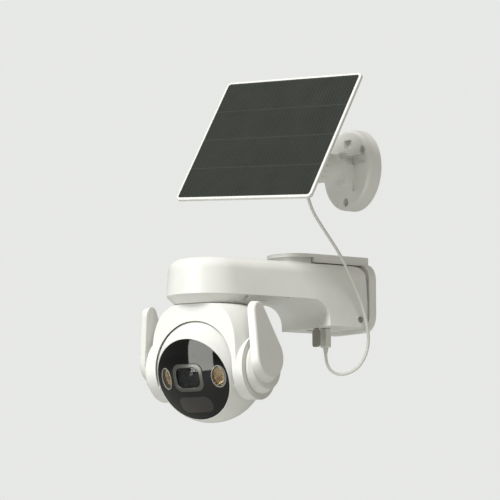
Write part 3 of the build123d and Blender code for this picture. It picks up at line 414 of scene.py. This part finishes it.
for name, ob in nodes.items():
    look_name = own.get(name) or fallback.get(name, "white_shell")
    ob.data.materials.clear()
    ob.data.materials.append(MATS[look_name])
    ob.data.polygons.foreach_set("material_index", [0] * len(ob.data.polygons))


# ------------------------------------------------------------------ mesh helpers
def piece(name, verts, faces, mat, smooth=True):
    me = bpy.data.meshes.new(name)
    me.from_pydata([tuple(v) for v in verts], [], faces)
    bm = bmesh.new()
    bm.from_mesh(me)
    bmesh.ops.recalc_face_normals(bm, faces=bm.faces)
    bm.to_mesh(me)
    bm.free()
    me.polygons.foreach_set("use_smooth", [smooth] * len(me.polygons))
    me.materials.append(MATS[mat])
    ob = bpy.data.objects.new(name, me)
    scene.collection.objects.link(ob)
    return ob


def tube(name, path, radius, mat, sides=20, ring=None):
    # sweeps a round section along a path with frames that don't twist
    verts, faces = [], []
    tangents = []
    for i in range(len(path)):
        a, b = path[max(i - 1, 0)], path[min(i + 1, len(path) - 1)]
        tangents.append((b - a).normalized())
    side = tangents[0].orthogonal().normalized()
    for i, (p, tan) in enumerate(zip(path, tangents)):
        side = (side - tan * side.dot(tan)).normalized()
        up = tan.cross(side)
        r = radius(i / (len(path) - 1)) if callable(radius) else radius
        for k in range(sides):
            a = 2 * math.pi * k / sides
            verts.append(p + (side * math.cos(a) + up * math.sin(a)) * r)
    for i in range(len(path) - 1):
        for k in range(sides):
            j = (k + 1) % sides
            faces.append((i * sides + k, i * sides + j, (i + 1) * sides + j, (i + 1) * sides + k))
    faces.append(tuple(range(sides)))
    faces.append(tuple((len(path) - 1) * sides + k for k in reversed(range(sides))))
    return piece(name, verts, faces, mat)


def closed_tube(name, loop, radius, mat, sides=10):
    verts, faces = [], []
    n = len(loop)
    for i, (p, normal) in enumerate(loop):
        tan = (loop[(i + 1) % n][0] - loop[i - 1][0]).normalized()
        out = (normal - tan * normal.dot(tan)).normalized()
        across = tan.cross(out)
        for k in range(sides):
            a = 2 * math.pi * k / sides
            verts.append(p + (out * math.cos(a) + across * math.sin(a)) * radius)
    for i in range(n):
        for k in range(sides):
            j, m = (k + 1) % sides, (i + 1) % n
            faces.append((i * sides + k, i * sides + j, m * sides + j, m * sides + k))
    return piece(name, verts, faces, mat)


def turned(name, origin, axis, profile, mat, sides=48):
    # profile: (radius, height) pairs in mm, from one end of the axis to the other
    z = Vector(axis).normalized()
    x = z.orthogonal().normalized()
    y = z.cross(x)
    o = Vector(origin)
    verts, faces = [], []
    for r, h in profile:
        for k in range(sides):
            a = 2 * math.pi * k / sides
            verts.append(o + (x * math.cos(a) * r + y * math.sin(a) * r + z * h) * MM)
    for i in range(len(profile) - 1):
        for k in range(sides):
            j = (k + 1) % sides
            faces.append((i * sides + k, i * sides + j, (i + 1) * sides + j, (i + 1) * sides + k))
    faces.append(tuple(range(sides)))
    faces.append(tuple((len(profile) - 1) * sides + k for k in reversed(range(sides))))
    return piece(name, verts, faces, mat)


# ------------------------------------------------------------------ charging cable
ROUTE = [(90.2, -113.9, 89.1), (89.4, -110.9, 76), (77.5, -83.5, 54), (63, -57, 36.5), (53.8, -37, 14), (51.6, -24, -7.5),
         (49, -15.5, -29.5), (42.8, -9.8, -50), (32, -13.5, -70), (19.8, -28.5, -78), (13, -41, -69), (13, -41, -54.5)]
HALF_WAY = (58.4, -47.0, 25.25)


def smooth_line(name, points):
    curve = bpy.data.curves.new(name, "CURVE")
    curve.dimensions = "3D"
    curve.resolution_u = 16
    spline = curve.splines.new("NURBS")
    spline.points.add(len(points) - 1)
    for p, q in zip(spline.points, points):
        p.co = (q[0] * MM, q[1] * MM, q[2] * MM, 1.0)
    spline.order_u = 3
    spline.use_endpoint_u = True
    ob = bpy.data.objects.new(name, curve)
    scene.collection.objects.link(ob)
    bpy.context.view_layer.update()
    me = bpy.data.meshes.new_from_object(ob)
    path = [v.co.copy() for v in me.vertices]
    bpy.data.objects.remove(ob)
    return path


upper_path = smooth_line("upper_line", ROUTE[:4] + [HALF_WAY])
lower_path = smooth_line("lower_line", [HALF_WAY] + ROUTE[4:])
upper = tube("cable_upper_cord", upper_path, 0.0015, "cable_white", 24)
lower = tube("cable_lower_cord", lower_path, 0.0015, "cable_white", 24)
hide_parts("cable_upper")
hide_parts("cable_lower")
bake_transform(upper)
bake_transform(lower)

# strain relief: a tapered sleeve with shallow ribs
sleeve = []
for i in range(41):
    s = i / 40
    r = 2.78 + (2.02 - 2.78) * s
    groove = 0.26 * max(0.0, math.sin(s * math.pi * 6.0)) ** 2 if 0.06 < s < 0.94 else 0.0
    sleeve.append((r - groove, -49.5 - 5.0 * s))
relief = turned("strain_relief_ribbed", (0.013, -0.041, 0.0), (0, 0, 1), sleeve, "cable_white", 40)
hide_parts("strain_relief")
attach(relief, "mount_and_arm")

# ------------------------------------------------------------------ face details
for tag, u0 in (("right", 31.5), ("left", -26.5)):
    loop = []
    for i in range(96):
        a = 2 * math.pi * i / 96
        u, v = u0 + 6.3 * math.cos(a), 3.0 + 10.3 * math.sin(a)
        w = dome(u, v, 0.05)
        loop.append((face(u, v, w), (face(u, v, w) - face(0, 0, DOME_W)).normalized()))
    rim = closed_tube(f"light_window_rim_{tag}", loop, 0.00042, "pale_rim")
    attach(rim, "tilt_ball")

# stepped shroud between the lens barrel and the rounded-square window
shroud_v, shroud_f = [], []
SEG = 96
LENS_AT = (0.6, 4.4)
steps = []
for i in range(5):
    steps += [(i / 5.0, 37.62 + i * 0.1), ((i + 0.7) / 5.0, 37.50 + i * 0.1)]
steps.append((1.0, 38.15))
for s, w in steps:
    for k in range(SEG):
        a = 2 * math.pi * k / SEG
        ca, sa = math.cos(a), math.sin(a)
        ex = 2.0 / (2.0 + 2.6 * s)
        sq = (math.copysign(abs(ca) ** ex, ca), math.copysign(abs(sa) ** ex, sa))
        u = LENS_AT[0] + sq[0] * (9.3 + (12.5 - 9.3) * s)
        v = LENS_AT[1] + sq[1] * (9.3 + (9.4 - 9.3) * s)
        shroud_v.append(face(u, v, w))
for i in range(len(steps) - 1):
    for k in range(SEG):
        j = (k + 1) % SEG
        shroud_f.append((i * SEG + k, i * SEG + j, (i + 1) * SEG + j, (i + 1) * SEG + k))
shroud = piece("lens_shroud", shroud_v, shroud_f, "barrel_black", smooth=False)
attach(shroud, "tilt_ball")

# ------------------------------------------------------------------ tinned ribbons between the rows of cells
rv, rf = [], []


def strip(x0, x1, y0, y1, z0, z1):
    n = len(rv)
    inset = 0.08
    for z, g in ((z0, 0.0), (z1, inset)):
        for x, y in ((x0 + g, y0 + g), (x1 - g, y0 + g), (x1 - g, y1 - g), (x0 + g, y1 - g)):
            rv.append(sun(x, y, z))
    rf.extend([(n, n + 3, n + 2, n + 1), (n + 4, n + 5, n + 6, n + 7)])
    for k in range(4):
        j = (k + 1) % 4
        rf.append((n + k, n + j, n + 4 + j, n + 4 + k))


for row_y in (-34.9, 0.0, 34.9):
    for off in (-0.55, 0.55):
        strip(-83.6, 83.6, row_y + off - 0.16, row_y + off + 0.16, -0.47, -0.41)
ribbons = piece("cell_ribbons", rv, rf, "ribbon_tin", smooth=False)
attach(ribbons, "solar_panel")

# ------------------------------------------------------------------ floor
FLOOR_Z = -0.62
fv, ff = [(0.0, 0.0, FLOOR_Z)], []
rings = [(0.6, 0.0), (1.5, 0.0), (2.6, 0.0), (3.6, 0.0), (9.0, 0.0), (26.0, 0.0)]
for r, dz in rings:
    for k in range(96):
        a = 2 * math.pi * k / 96
        fv.append((r * math.cos(a), r * math.sin(a), FLOOR_Z + dz))
for k in range(96):
    ff.append((0, 1 + k, 1 + (k + 1) % 96))
for i in range(len(rings) - 1):
    for k in range(96):
        j = (k + 1) % 96
        a, b = 1 + i * 96, 1 + (i + 1) * 96
        ff.append((a + k, b + k, b + j, a + j))
me = bpy.data.meshes.new("floor")
me.from_pydata(fv, [], ff)
floor = bpy.data.objects.new("floor", me)
scene.collection.objects.link(floor)
floor_mat, ft, fb = material("floor_paper")
ftc = node(ft, "ShaderNodeTexCoord").outputs["Object"]
ft.links.new(ramp(ft, noise(ft, ftc, 3.0), [(0.3, (0.74, 0.75, 0.73)), (0.7, (0.77, 0.78, 0.76))]), fb.inputs["Base Color"])
ft.links.new(span(ft, noise(ft, ftc, 300.0), 0.75, 0.9), fb.inputs["Roughness"])
floor.data.materials.append(floor_mat)

# ------------------------------------------------------------------ the last line
bpy.context.view_layer.update()
